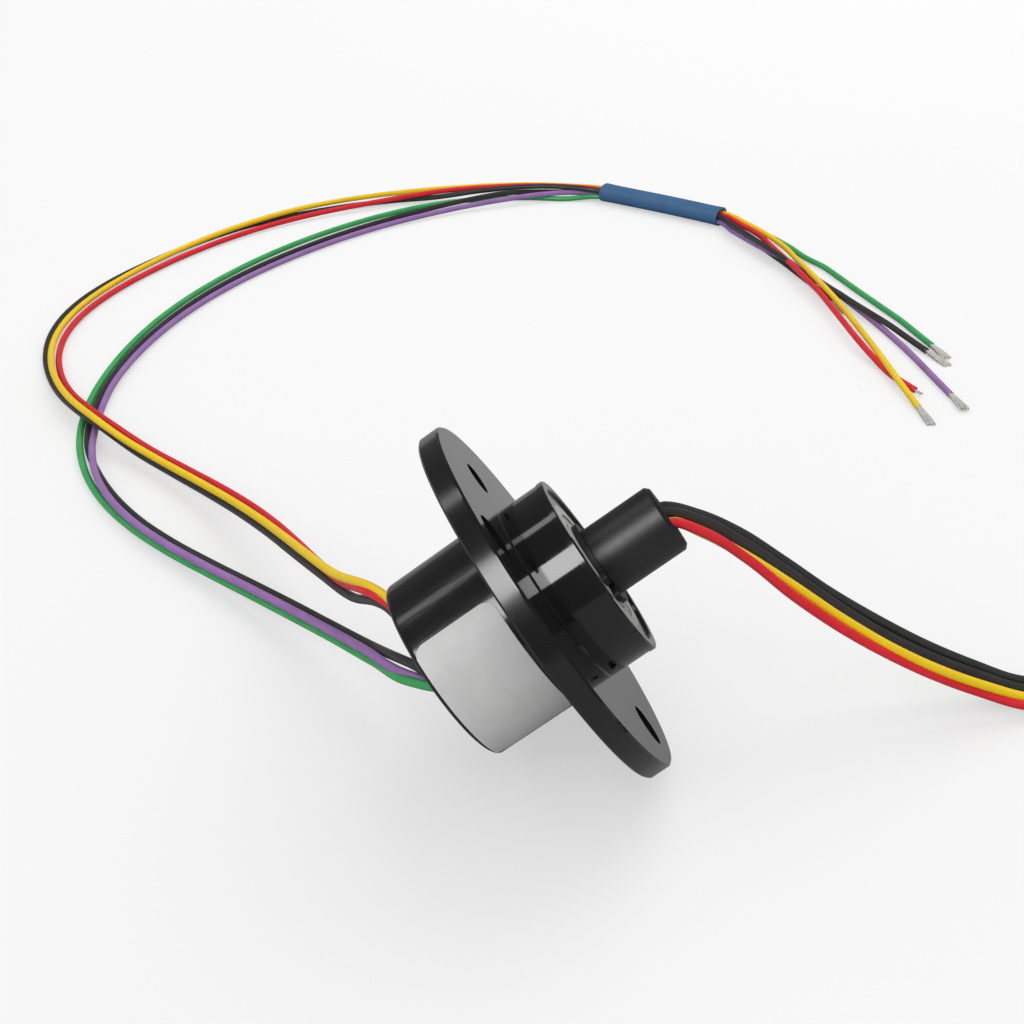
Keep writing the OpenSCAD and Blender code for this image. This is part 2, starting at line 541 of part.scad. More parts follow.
module ring_barriers() {
    color("#3b4a3f") for (i = [0 : circuits])
        seated() washer(barrier_d, core_d + 2 * seat_gap, stack_z - i * (barrier_t + ring_w) - barrier_t, barrier_t);
}

module stack_washer() {
    color("dimgray") seated() washer(core_d + 2.4, journal_d + 2 * seat_gap, rear_bearing_z,
        stack_end_z - rear_bearing_z);
}

// Brushes

block_front_z = cap_rear_z - 0.1;
block_rear_z = rear_bearing_z + 0.3;
block_x = barrier_d / 2 + 1.3;
block_half = 5.3;

module brush_block(side) {
    r = bore_d / 2 - seat_gap;
    color("#c9b48a") seated() rotate([0, 0, side > 0 ? 0 : 180]) translate([0, 0, block_rear_z])
        linear_extrude(block_front_z - block_rear_z) intersection() {
            circle(r = r, $fn = 96);
            translate([block_x, -block_half]) square([bore_d, 2 * block_half]);
        }
}

module brush_wires(i) {
    reach = block_x + 2;
    color("goldenrod") seated() for (side = [-1, 1], half = [-1, 1])
        translate([side * (block_x - reach / 2), half * brush_y, ring_mid_z(i) + side * groove_step])
            rotate([0, 90, 0]) cylinder(d = brush_d, h = reach, center = true, $fn = 16);
}

// Leads of the stator: three from each exit, on to the sleeve and out of it

module stator_lead(way, fan) {
    tube(way, -axis_dir, sleeve_in, lead_d);
    tube(fan, sleeve_out, end_dir(fan), lead_d);
}

function end_dir(p) = (p[len(p) - 1] - p[len(p) - 2]) / norm(p[len(p) - 1] - p[len(p) - 2]);

module stripped_end(p) {
    t = end_dir(p);
    translate(p[len(p) - 1]) rotate([0, acos(t.z), atan2(t.y, t.x)])
        cylinder(d = strand_d, h = strip_l, $fn = 16);
}

module stator_lead_tips() {
    color("lightgray") for (p = [yellow_fan, red_fan, black_1_fan, green_fan, black_2_fan, violet_fan])
        stripped_end(p);
}

// An oblong solid on the surface along the sleeve's line, from rounded sections
module heat_shrink_sleeve() {
    color("#2f6096") tube(sleeve_route, sleeve_in, sleeve_out, sleeve_w, 2, 16, sleeve_h);
}

// Leads of the rotor: out of the nose and down into the coil

module rotor_lead(way) {
    tube(way, axis_dir, [1, 0, 0], lead_d, 4);
}

module rotor_lead_coil() {
    color("#2b2b2c") translate([coil_centre.x, coil_centre.y, tie_t]) rotate_extrude($fn = 96)
        translate([coil_r - coil_width / 2, 0]) square([coil_width, coil_height]);
}

module coil_tie() {
    color("#e8e8e4") translate([coil_centre.x, coil_centre.y, 0]) rotate(tie_turn)
        translate([coil_r, 0, 0]) rotate([90, 0, 0]) linear_extrude(tie_w, center = true) difference() {
            translate([-coil_width / 2 - tie_t - run_gap, seat_gap])
                square([coil_width + 2 * tie_t + 2 * run_gap, coil_height + 2 * tie_t]);
            translate([-coil_width / 2 - run_gap - 0.2, tie_t - seat_gap])
                square([coil_width + 2 * run_gap + 0.4, coil_height + 2 * seat_gap]);
        }
}

module rotor_lead_tails() {
    at = coil_centre + (coil_r - coil_width / 2 + 0.6) * [cos(tail_turn), sin(tail_turn)];
    color("lightgray") for (column = [-1 : 1], level = [0 : coil_levels - 1])
        translate([at.x, at.y, tie_t + (level + 0.5) * lead_pitch]) rotate([0, 90, tail_dir])
            translate([0, column * lead_pitch, 0]) cylinder(d = lead_d, h = tail_l, $fn = 16);
}

flange_housing();
front_bearing_cap();
rear_cap();
label();
lead_potting(upper_exit);  // lead_potting_upper
lead_potting(lower_exit);  // lead_potting_lower
front_bearing_outer_ring();
front_bearing_inner_ring();
front_bearing_balls();
front_bearing_cage();
front_bearing_shield();
rear_bearing_outer_ring();
rear_bearing_inner_ring();
rear_bearing_balls();
brush_block(-1);  // brush_block_left
brush_block(1);  // brush_block_right
brush_wires(1);  // brush_wires_1
brush_wires(2);  // brush_wires_2
brush_wires(3);  // brush_wires_3
brush_wires(4);  // brush_wires_4
brush_wires(5);  // brush_wires_5
brush_wires(6);  // brush_wires_6
color("#333333") stator_lead(black_1_way, black_1_fan);  // stator_lead_black_1
color("#ffd200") stator_lead(yellow_way, yellow_fan);  // stator_lead_yellow
color("#e3192a") stator_lead(red_way, red_fan);  // stator_lead_red
color("#35a853") stator_lead(green_way, green_fan);  // stator_lead_green
color("#333333") stator_lead(black_2_way, black_2_fan);  // stator_lead_black_2
color("#a775bd") stator_lead(violet_way, violet_fan);  // stator_lead_violet
stator_lead_tips();
heat_shrink_sleeve();
rotor_shaft();
retaining_ring();
nose_plug();
contact_ring(1);  // contact_ring_1
contact_ring(2);  // contact_ring_2
contact_ring(3);  // contact_ring_3
contact_ring(4);  // contact_ring_4
contact_ring(5);  // contact_ring_5
contact_ring(6);  // contact_ring_6
ring_barriers();
stack_washer();
color("#333333") rotor_lead(black_1_rotor);  // rotor_lead_black_1
color("#333333") rotor_lead(black_2_rotor);  // rotor_lead_black_2
color("#ffd200") rotor_lead(yellow_rotor);  // rotor_lead_yellow
color("#e3192a") rotor_lead(red_rotor);  // rotor_lead_red
color("#35a853") rotor_lead(green_rotor);  // rotor_lead_green
color("#a775bd") rotor_lead(violet_rotor);  // rotor_lead_violet
rotor_lead_coil();
coil_tie();
rotor_lead_tails();
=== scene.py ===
# Slip ring with a flange, lying on its leads: camera, lead routes, finishes, leads, sleeve, tie and studio.
import json
import math

import bpy
import numpy as np
from mathutils import Matrix, Vector


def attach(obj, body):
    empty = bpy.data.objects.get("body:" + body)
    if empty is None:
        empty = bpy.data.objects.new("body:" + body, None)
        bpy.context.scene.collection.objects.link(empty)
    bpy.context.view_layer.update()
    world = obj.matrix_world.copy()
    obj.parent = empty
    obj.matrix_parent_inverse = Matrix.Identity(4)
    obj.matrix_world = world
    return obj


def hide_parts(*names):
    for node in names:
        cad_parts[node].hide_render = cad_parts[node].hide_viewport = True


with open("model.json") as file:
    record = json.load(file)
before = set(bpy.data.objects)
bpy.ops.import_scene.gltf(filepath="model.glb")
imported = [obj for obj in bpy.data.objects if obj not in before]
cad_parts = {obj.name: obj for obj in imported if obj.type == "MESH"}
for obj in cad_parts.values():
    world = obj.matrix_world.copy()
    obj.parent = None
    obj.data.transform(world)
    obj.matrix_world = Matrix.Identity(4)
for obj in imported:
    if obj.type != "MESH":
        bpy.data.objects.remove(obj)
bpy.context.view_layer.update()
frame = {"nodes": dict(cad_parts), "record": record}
mm = 0.001
print("frame loaded:", len(frame["nodes"]), "parts")

# How the part lies: its axis rises towards +X, and face is the middle of the flange's front, in millimetres
lie = {"angle": math.radians(33.6), "face": np.array([2.1329, 0.0, 19.8606])}
axisDir = np.array([math.cos(lie["angle"]), 0.0, math.sin(lie["angle"])])
downDir = np.array([math.sin(lie["angle"]), 0.0, -math.cos(lie["angle"])])
sideDir = np.array([0.0, 1.0, 0.0])

# Camera

cameraView = {
    "place": (-33.294, -148.951, 111.246),  # millimetres
    "forward": (0.176830, 0.865059, -0.469472),
    "lens": 57.194,
    "sensor": 36.0,
    "near": 0.01,  # metres
    "far": 20.0,
}


def makeCamera(v):
    data = bpy.data.cameras.new("camera")
    data.lens, data.sensor_width = v["lens"], v["sensor"]
    data.clip_start, data.clip_end = v["near"], v["far"]
    cam = bpy.data.objects.new("camera", data)
    bpy.context.scene.collection.objects.link(cam)
    back = -Vector(v["forward"]).normalized()
    right = Vector((v["forward"][1], -v["forward"][0], 0)).normalized()
    up = back.cross(right)
    turn = Matrix((right, up, back)).transposed().to_4x4()
    cam.matrix_world = Matrix.Translation(Vector(v["place"]) * mm) @ turn
    bpy.context.scene.camera = cam


makeCamera(cameraView)
bpy.context.scene.view_settings.view_transform = "Standard"

# Small tools for surfaces


def gridFaces(rows, cols, wrapRows=False, wrapCols=False):
    # Quads of a grid: point (i, j) is number i * cols + j; a wrapped side joins its last line to its first
    i = np.arange(rows if wrapRows else rows - 1)[:, None]
    j = np.arange(cols if wrapCols else cols - 1)[None, :]
    a = i * cols + j
    b = i * cols + (j + 1) % cols
    c = ((i + 1) % rows) * cols + (j + 1) % cols
    d = ((i + 1) % rows) * cols + j
    return np.stack([a, b, c, d], -1).reshape(-1, 4)


def meshFrom(name, points, quads, uv=None, extra=()):
    # Points in millimetres; uv is one pair for each point; extra holds faces of any other size
    faces = quads.tolist() + [list(f) for f in extra]
    mesh = bpy.data.meshes.new(name)
    mesh.from_pydata((np.asarray(points).reshape(-1, 3) * mm).tolist(), [], faces)
    if uv is not None:
        layer = mesh.uv_layers.new(name="UVMap")
        corner = np.empty(len(mesh.loops), dtype=np.int32)
        mesh.loops.foreach_get("vertex_index", corner)
        layer.data.foreach_set("uv", np.asarray(uv, dtype=np.float32).reshape(-1, 2)[corner].ravel())
    mesh.polygons.foreach_set("use_smooth", np.ones(len(mesh.polygons), dtype=bool))
    mesh.update()
    obj = bpy.data.objects.new(name, mesh)
    bpy.context.scene.collection.objects.link(obj)
    return obj


def finishPiece(obj, body, slot, material, *nodes):
    # A piece that already has its materials comes with None; nodes are the parts that it replaces
    if material:
        obj.data.materials.clear()
        obj.data.materials.append(material)
    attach(obj, body)
    if nodes:
        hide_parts(*nodes)
    return obj


def unit(v):
    v = np.asarray(v, float)
    return v / np.linalg.norm(v, axis=-1, keepdims=True)


def ease(x):
    # 3 x^2 - 2 x^3: from 0 to 1 with level ends
    return x * x * (3 - 2 * x)


def oblong(count, power):
    # Points of |x|^n + |z|^n = 1, where power is 2 / n
    u = np.linspace(0, 2 * math.pi, count, endpoint=False)
    x, z = np.cos(u), np.sin(u)
    return np.sign(x) * np.abs(x) ** power, np.sign(z) * np.abs(z) ** power


def smoothRoute(points, first, last, steps):
    # Hermite curve: from a to b, h apart, it is h00 a + h10 h m + h01 b + h11 h n,
    # where the slopes m and n come from the legs on both sides, weighted by their lengths
    p = np.asarray(points, float)
    leg = np.diff(p, axis=0)
    gap = np.linalg.norm(leg, axis=1)[:, None]
    slope = np.empty_like(p)
    slope[1:-1] = (leg[1:] * gap[:-1] / gap[1:] + leg[:-1] * gap[1:] / gap[:-1]) / (gap[:-1] + gap[1:])
    slope[0], slope[-1] = first, last
    u = (np.arange(steps) / steps)[None, :, None]
    a, b, m, n, h = (v[:, None, :] for v in (p[:-1], p[1:], slope[:-1], slope[1:], gap))
    q = (2 * u**3 - 3 * u**2 + 1) * a + (u**3 - 2 * u**2 + u) * h * m
    q = q + (3 * u**2 - 2 * u**3) * b + (u**3 - u**2) * h * n
    return np.vstack([q.reshape(-1, 3), p[-1:]])


def runAlong(path):
    # Distance along the line at each of its points
    return np.concatenate([[0], np.cumsum(np.linalg.norm(np.diff(path, axis=0), axis=1))])


def evenRoute(path, spacing):
    # The same line with 8 or more points an even distance apart, by linear steps along its length
    run = runAlong(path)
    at = np.linspace(0, run[-1], max(8, int(round(run[-1] / spacing)) + 1))
    return np.stack([np.interp(at, run, path[:, k]) for k in range(3)], 1)


def routeLength(path):
    return float(np.linalg.norm(np.diff(path, axis=0), axis=1).sum())


def routeFrames(path):
    # Tangent t, level side (-t.y, t.x, 0) and up = t x side at each point
    t = unit(np.gradient(path, axis=0))
    side = unit(np.stack([-t[:, 1], t[:, 0], np.zeros(len(t))], 1))
    return t, side, np.cross(t, side)


tube = {
    "sides": 14,
    "roundEnd": 0.25,  # how far each end is drawn in, as a share of the radius
}


def tubeMesh(name, path, radius):
    # Circle of the given radius carried along the path: c + r (cos v side + sin v up),
    # with its ends flat and drawn in
    sides, roundEnd = tube["sides"], tube["roundEnd"]
    t, side, up = routeFrames(path)
    v = np.linspace(0, 2 * math.pi, sides, endpoint=False)
    ring = np.cos(v)[None, :, None] * side[:, None, :] + np.sin(v)[None, :, None] * up[:, None, :]
    shrink = radius * (1 - roundEnd)
    first = path[:1, None, :] + ring[:1] * shrink
    last = path[-1:, None, :] + ring[-1:] * shrink
    body = path[:, None, :] + ring * radius
    body[0] += t[0] * radius * roundEnd / 2
    body[-1] -= t[-1] * radius * roundEnd / 2
    rings = np.concatenate([first, body, last])
    n = len(rings)
    run = runAlong(path)
    run = np.concatenate([run[:1], run, run[-1:]])
    uv = np.stack(np.broadcast_arrays((v / (2 * math.pi))[None, :], run[:, None]), -1)
    caps = [range(sides), range(n * sides - 1, (n - 1) * sides - 1, -1)]
    quads = gridFaces(n, sides, wrapCols=True)
    return meshFrom(name, rings, quads[:, ::-1], uv, caps)


# Leads, in millimetres

lead = {
    "diameter": 1.12,
    "pitch": 1.25,  # between neighbours in the nose and in the coil
    "spacing": 0.7,  # between rings of the mesh
    "root": 0.9,  # length hidden in the potting or the plug
    "straight": 0.35,  # how much of the first direction is that of the hole
    "clear": 0.02,  # between a lead and the surface it lies on
    "steps": 8,  # between two points of a route
    "sleeveSteps": 30,
    "dropSteps": 10,
    "closing": 20,  # last points of the drop, which move on to the coil
}

# Each list holds points of a lead's middle line: x, y and the height above the surface. They follow the
# part's own leads, some of them moved sideways or in height by up to 2.3 mm.
# From the rear exits to the sleeve
ways = {
    "black_1": [
        [-13.11, 3.86, 15.25], [-15.83, 9.2, 15.02], [-18.63, 18.07, 11.24], [-21.48, 27.95, 9.02],
        [-24.19, 37.88, 6.88], [-27.08, 47.81, 5], [-30.44, 57.12, 3.49], [-34.49, 66.19, 2.31],
        [-39.23, 74.98, 1.6], [-44.77, 83.91, 1.59], [-49.94, 92.49, 2.23], [-54.17, 100.98, 1.9],
        [-57.36, 109.91, 1.19], [-59.6, 119.65, 0.8], [-60.56, 129.1, 0.7], [-60.1, 138.59, 0.72],
        [-58.23, 147.39, 0.76], [-54.81, 156.24, 0.78], [-50.16, 164.53, 0.77], [-44.31, 172.65, 0.74],
        [-37.8, 180.26, 0.74], [-30.74, 187.35, 0.78], [-23.02, 193.72, 0.79], [-15.01, 198.83, 0.71],
        [-6.36, 202.74, 0.63], [2.78, 205.34, 0.71], [12.18, 206.78, 0.76], [21.68, 207.02, 0.9],
        [31.58, 206.18, 1.99], [41.44, 204.72, 2.8], [50.22, 202.53, 2.94], [58.88, 198.77, 2.36],
    ],
    "yellow": [
        [-13.46, 4.96, 15.78], [-15.63, 8.6, 16.47], [-20.4, 21.23, 12.86], [-22.96, 31.13, 10.4],
        [-25.33, 41.07, 7.94], [-28.06, 50.49, 5.95], [-31.79, 60.18, 4.35], [-36.14, 69.13, 3.26],
        [-41.16, 77.76, 2.74], [-46.57, 86.19, 2.92], [-51.6, 94.83, 3.48], [-55.27, 103.58, 2.98],
        [-57.77, 112.72, 2.33], [-59.25, 122.6, 1.74], [-59.47, 132.09, 1.34], [-58.33, 141.51, 1.08],
        [-55.71, 150.63, 0.95], [-51.71, 159.24, 0.95], [-46.36, 167.7, 1.07], [-40.22, 175.6, 1.26],
        [-33.48, 183, 1.46], [-26.12, 189.77, 1.68], [-18.19, 195.87, 1.83], [-9.47, 201.74, 1.8],
        [-0.78, 206.68, 1.44], [8.02, 210.25, 1.12], [17.26, 212.38, 0.98], [26.24, 213.04, 1.01],
        [35.69, 212.25, 1.25], [44.37, 209.95, 1.63], [52.9, 205.83, 2.04], [60.72, 200.43, 2.36],
    ],
    "red": [
        [-12.77, 4.96, 14.73], [-15.7, 8.2, 15.99], [-19.7, 21.22, 11.81], [-21.81, 30.73, 9.55],
        [-23.6, 40.3, 7.23], [-25.85, 49.84, 5.24], [-28.99, 59.2, 3.67], [-32.81, 67.82, 2.51],
        [-37.57, 76.57, 1.68], [-42.91, 85.03, 1.49], [-48.29, 93.47, 2.12], [-52.66, 101.9, 2.09],
        [-55.78, 110.82, 1.34], [-57.61, 119.61, 0.92], [-58.26, 129.08, 0.75], [-57.44, 138.02, 0.74],
        [-55.14, 146.71, 0.76], [-51.33, 155.4, 0.76], [-46.49, 163.58, 0.75], [-40.61, 171.66, 0.74],
        [-34.08, 179.24, 0.76], [-26.92, 186.22, 0.8], [-19.49, 192.13, 0.87], [-11.42, 197.13, 0.98],
        [-2.78, 201.06, 1.15], [6.75, 204.08, 1.43], [16.48, 206.27, 1.88], [26.34, 207.91, 2.15],
        [35.33, 208.46, 2.1], [43.74, 207.44, 2.2], [51.68, 204.52, 2.35], [59.8, 199.6, 2.42],
    ],
    "green": [
        [-10.02, -2.14, 10.59], [-14.05, 2.2, 8.96], [-17.18, 10.69, 6.58], [-20.97, 19.22, 4.85],
        [-25.36, 28.05, 3.2], [-30, 36.26, 2.04], [-35.35, 44.67, 1.24], [-40.59, 52.58, 0.82],
        [-45.46, 60.73, 0.65], [-49.24, 68.88, 0.61], [-51.89, 77.47, 0.61], [-53.35, 86.34, 0.62],
        [-53.67, 95.32, 0.64], [-52.79, 104.77, 0.65], [-51.01, 114.1, 0.67], [-48.5, 123.26, 0.68],
        [-45.36, 132.22, 0.69], [-41.59, 140.94, 0.7], [-37.19, 149.35, 0.71], [-32.19, 157.43, 0.71],
        [-26.34, 165.53, 0.72], [-20.27, 172.83, 0.73], [-13.7, 179.69, 0.74], [-6.63, 186.04, 0.76],
        [0.95, 191.76, 0.79], [9.03, 196.74, 0.84], [17.15, 200.6, 0.88], [25.24, 203.14, 0.82],
        [33.65, 204.19, 0.62], [42.1, 203.54, 0.6], [50.09, 201.05, 0.6], [58.88, 198.77, 1.12],
    ],
    "black_2": [
        [-10.36, -1.04, 11.11], [-13.95, 4.2, 10.26], [-17.18, 13.92, 6.87], [-20.82, 22.45, 4.82],
        [-24.87, 30.89, 3.18], [-29.51, 39.1, 2], [-34.63, 47.07, 1.24], [-39.83, 55.01, 0.82],
        [-44.56, 63.25, 0.65], [-48.14, 71.5, 0.61], [-50.7, 80.13, 0.6], [-52.25, 88.48, 0.6],
        [-52.39, 97.46, 0.6], [-51.24, 106.4, 0.63], [-49.34, 115.2, 0.65], [-46.59, 124.29, 0.68],
        [-43.16, 133.15, 0.7], [-39.08, 141.74, 0.71], [-34.65, 149.57, 0.72], [-29.38, 157.48, 0.73],
        [-23.53, 164.97, 0.73], [-17.16, 172.02, 0.73], [-10.33, 178.63, 0.73], [-3.08, 184.77, 0.75],
        [4.6, 190.36, 0.79], [12.28, 195.05, 0.87], [20.79, 199.27, 1.06], [28.74, 202.24, 1.4],
        [37.49, 204.26, 1.72], [45.45, 204.7, 1.45], [53.29, 203.35, 1.22], [60.72, 200.43, 1.12],
    ],
    "violet": [
        [-9.67, -1.04, 10.06], [-14.37, 3.9, 8.96], [-18.32, 12.08, 7.71], [-22.32, 21.05, 5.8],
        [-26.23, 29.03, 4.3], [-30.89, 37.23, 3.14], [-36, 45.21, 2.39], [-41.15, 53.2, 2],
        [-45.52, 61.06, 1.85], [-48.74, 68.92, 1.78], [-50.79, 77.17, 1.78], [-51.5, 85.63, 1.81],
        [-51.32, 94.58, 1.03], [-50.55, 103.02, 0.84], [-48.91, 111.89, 1.03], [-46.37, 121.05, 0.95],
        [-43.29, 129.51, 0.86], [-39.38, 138.18, 0.8], [-35.05, 146.07, 0.76], [-29.84, 154.02, 0.74],
        [-24.36, 161.16, 0.73], [-18.05, 168.28, 0.73], [-11.64, 174.6, 0.74], [-4.43, 180.8, 0.76],
        [2.81, 186.14, 0.79], [10.92, 191.1, 0.85], [19.03, 195.01, 0.99], [27.49, 198.07, 1.23],
        [36.21, 200.31, 1.51], [44.6, 201.58, 1.74], [52.68, 201.67, 1.74], [59.8, 199.6, 1.12],
    ],
}
# From the sleeve to each stripped end
fans = {
    "black_1": [
        [78.67, 176.68, 2.36], [79.61, 170.24, 2.52], [80.31, 164.28, 2.67], [81.15, 157.82, 2.74],
        [82.19, 151.91, 2.64], [83.54, 146.08, 2.25], [85.08, 140.3, 1.55], [86.38, 134.96, 1.37],
        [87.41, 129.04, 1.52], [88.15, 123.09, 1.61], [88.96, 117.14, 1.76], [90.16, 111.26, 1.65],
        [91.59, 105.46, 1.08], [92.93, 99.62, 0.6],
    ],
    "yellow": [
        [80.53, 178.32, 2.36], [83.35, 170.84, 2.21], [85.54, 163.68, 1.82], [86.67, 156.32, 1.59],
        [86.33, 148.85, 1.73], [85.68, 140.88, 2.17], [85.33, 132.92, 2.31], [85.44, 125.45, 1.86],
        [85.31, 117.49, 1.25], [84.7, 109.53, 1.06], [83.61, 101.61, 1.37], [82.51, 93.7, 1.6],
        [81.78, 85.8, 1.29], [81.33, 77.37, 0.64],
    ],
    "red": [
        [79.6, 177.5, 2.36], [81.65, 170.78, 2.31], [83.7, 163.55, 1.96], [83.97, 156.69, 1.77],
        [83.85, 149.71, 1.99], [83.5, 143.23, 2.4], [83.36, 136.25, 2.44], [83.55, 128.74, 2.1],
        [83.09, 120.73, 1.85], [82.43, 113.22, 1.84], [81.82, 105.25, 1.72], [81.91, 98.77, 1.21],
        [82.24, 91.78, 0.73], [83.75, 84.26, 0.6],
    ],
    "green": [
        [80.53, 178.32, 1.12], [83.4, 173.63, 1.06], [85.42, 169.08, 0.99], [87.09, 163.85, 0.9],
        [88.55, 158.03, 0.79], [89.47, 151.67, 0.7], [91.16, 145.76, 0.65], [91.9, 139.33, 0.62],
        [92.5, 132.89, 0.61], [93.12, 126.95, 0.6], [93.82, 120.48, 0.6], [94.43, 114.49, 0.6],
        [94.65, 108.49, 0.6], [94.89, 101.99, 0.6],
    ],
    "black_2": [
        [79.6, 177.5, 1.12], [80.93, 172.66, 1.06], [81.56, 167.19, 1.03], [82.42, 161.26, 0.94],
        [83.31, 155.32, 0.8], [84.22, 149.86, 0.6], [84.7, 143.87, 0.6], [85.18, 137.87, 0.6],
        [85.5, 132.38, 0.6], [85.52, 126.37, 0.6],
    ],
    "violet": [
        [78.67, 176.68, 1.12], [79.76, 169.23, 1.3], [81.08, 161.84, 1.42], [82.46, 154.46, 1.64],
        [84.18, 147.66, 1.77], [86.11, 140.95, 1.12], [87.7, 134.13, 0.78], [88.54, 127.17, 0.64],
        [89.11, 119.68, 0.6], [89.47, 112.17, 0.6], [89.63, 104.15, 0.6], [89.49, 96.63, 0.6],
        [89.15, 89.12, 0.6], [88.8, 81.1, 0.6],
    ],
}
# From the nose to the coil
drops = {
    "black_1": [
        [14.03, 1.62, 28.48], [18.35, 1.61, 27.1], [22.94, 1.6, 24.53], [28.93, 1.53, 19.96],
        [34.58, 1.37, 15.43], [40.84, 0.94, 11.08], [47.26, 0.13, 7.21], [53, -1.01, 4.49],
        [58.57, -2.42, 2.45], [64.43, -3.54, 2.27], [70.94, -3.81, 2.28], [77.97, -3.32, 2.45],
    ],
    "black_2": [
        [14.03, 0.42, 28.48], [18.36, 0.32, 27], [22.89, 0.37, 24.07], [28.85, 0.3, 19.41],
        [34.86, 0.1, 14.55], [41.07, -0.36, 10], [47, -1.13, 6.59], [52.69, -2.26, 4.06],
        [58.7, -3.77, 2.08], [64.54, -4.84, 2.26], [71.02, -5.09, 2.28], [78, -4.62, 2.45],
    ],
    "yellow": [
        [14.55, -0.68, 27.75], [18.29, -0.95, 26.01], [22.89, -1.28, 23.07], [28.55, -1.93, 18.94],
        [34.75, -2.93, 14.23], [41.01, -4.04, 10.09], [46.97, -4.73, 6.78], [52.78, -5.22, 4.13],
        [58.03, -5.81, 2.3], [64.48, -6.42, 2.24], [71.01, -6.44, 2.28], [78.03, -5.92, 2.43],
    ],
    "red": [
        [14.2, -1.72, 28.24], [17.97, -2.05, 26.75], [22.99, -2.4, 23.07], [28.41, -3.12, 18.18],
        [34.16, -3.9, 13.71], [40.19, -4.41, 9.66], [46.11, -4.73, 6.18], [51.89, -5.1, 3.37],
        [57.58, -6.52, 1.62], [64.02, -6.37, 1.04], [71.03, -6.44, 1.03], [78.03, -5.92, 1.23],
    ],
    "green": [
        [14.73, 1.62, 27.51], [18.33, 2.11, 25.46], [23.34, 1.92, 22.73], [29.3, 1.52, 17.77],
        [35.41, 1.32, 13.04], [41.27, 0.89, 8.92], [47.26, 0.12, 5.47], [53.02, -1.04, 2.95],
        [58.61, -2.43, 1.06], [64.47, -3.53, 1.04], [70.96, -3.8, 1.04], [77.97, -3.32, 1.21],
    ],
    "violet": [
        [14.73, 0.42, 27.51], [18.8, 0.88, 25.19], [24.14, 0.68, 21.99], [30.12, 0.27, 16.94],
        [35.84, 0.04, 12.4], [41.69, -0.44, 8.31], [47.68, -1.26, 5.03], [53.46, -2.47, 2.62],
        [59.09, -3.86, 0.87], [64.48, -4.82, 1.03], [70.99, -5.09, 1.04], [78, -4.62, 1.21],
    ],
}
# The sleeve's middle line, and the directions in which the leads enter and leave it
sleeveRoute = [
    [59.5, 199.9, 1.95], [64.7, 194.2, 1.97], [69.9, 188.6, 1.99], [74.8, 183.1, 1.97], [79.8, 177.3, 1.95],
]
sleeveIn, sleeveOut = [0.67, -0.742, 0], [0.661, -0.75, 0]

coil = {
    "centre": np.array([78.0, -20.0]),
    "radius": 15.375,  # of the first turn's middle
    "step": 3.75,  # from one turn to the next
    "stepTurn": 1.5,  # the part of a turn, in radians, in which the bundle steps inwards
    "low": 1.83,  # height of the bundle's middle
    "loose": 1.04,  # distance between columns, as a share of the pitch
    "points": 200,
    "tailTurn": math.radians(108),  # where the tails begin, anticlockwise from +X
    "tailStart": 0.75,  # radians of the last turn that the bend into the tails takes up
    "tailRadius": 10.35,
    "tailWay": math.radians(-34),
    "tailFan": 0.13,  # radians between neighbouring tails
    "tailSpread": 1.1,  # distance between their ends, as a share of that between columns
    "tailLength": 10.0,
    "tailSteps": 16,
    "shorter": 0.6,  # the outer tails
    "lowShorter": 0.5,  # the lower tails
    "bendWay": -0.1,  # direction of the bend's middle, in radians
    "bendOut": 0.4,
    "bendSide": np.array([0.1, 0.995, 0.0]),
}
# name: column outwards and level in the coil
coilPlaces = {
    "black_1": (1, 1), "black_2": (0, 1), "yellow": (-1, 1),
    "green": (1, -1), "violet": (0, -1), "red": (-1, -1),
}


def onSurface(line, diameter):
    # No point of the line lower than half a diameter above the surface
    line = line.copy()
    line[..., 2] = np.maximum(line[..., 2], diameter / 2 + lead["clear"])
    return line


def endWay(points):
    return unit(np.subtract(points[-1], points[-2]))


def startWay(points, hole):
    # The first direction lies between that of the hole and that of the next point
    share = lead["straight"]
    return unit(share * np.asarray(hole) + (1 - share) * unit(np.subtract(points[1], points[0])))


def levelWay(angle):
    return np.array([math.cos(angle), math.sin(angle), 0.0])


def statorPath(name):
    # Out of the potting, along the lead's own way to the sleeve, through it, and along the fan to its end
    way, fan = np.array(ways[name]), np.array(fans[name])
    root = way[0] + axisDir * lead["root"]
    path = np.vstack([
        root[None],
        smoothRoute(way, startWay(way, -axisDir), sleeveIn, lead["steps"])[:-1],
        smoothRoute([way[-1], fan[0]], sleeveIn, sleeveOut, lead["sleeveSteps"])[:-1],
        smoothRoute(fan, sleeveOut, endWay(fan), lead["steps"]),
    ])
    return onSurface(evenRoute(path, lead["spacing"]), lead["diameter"])


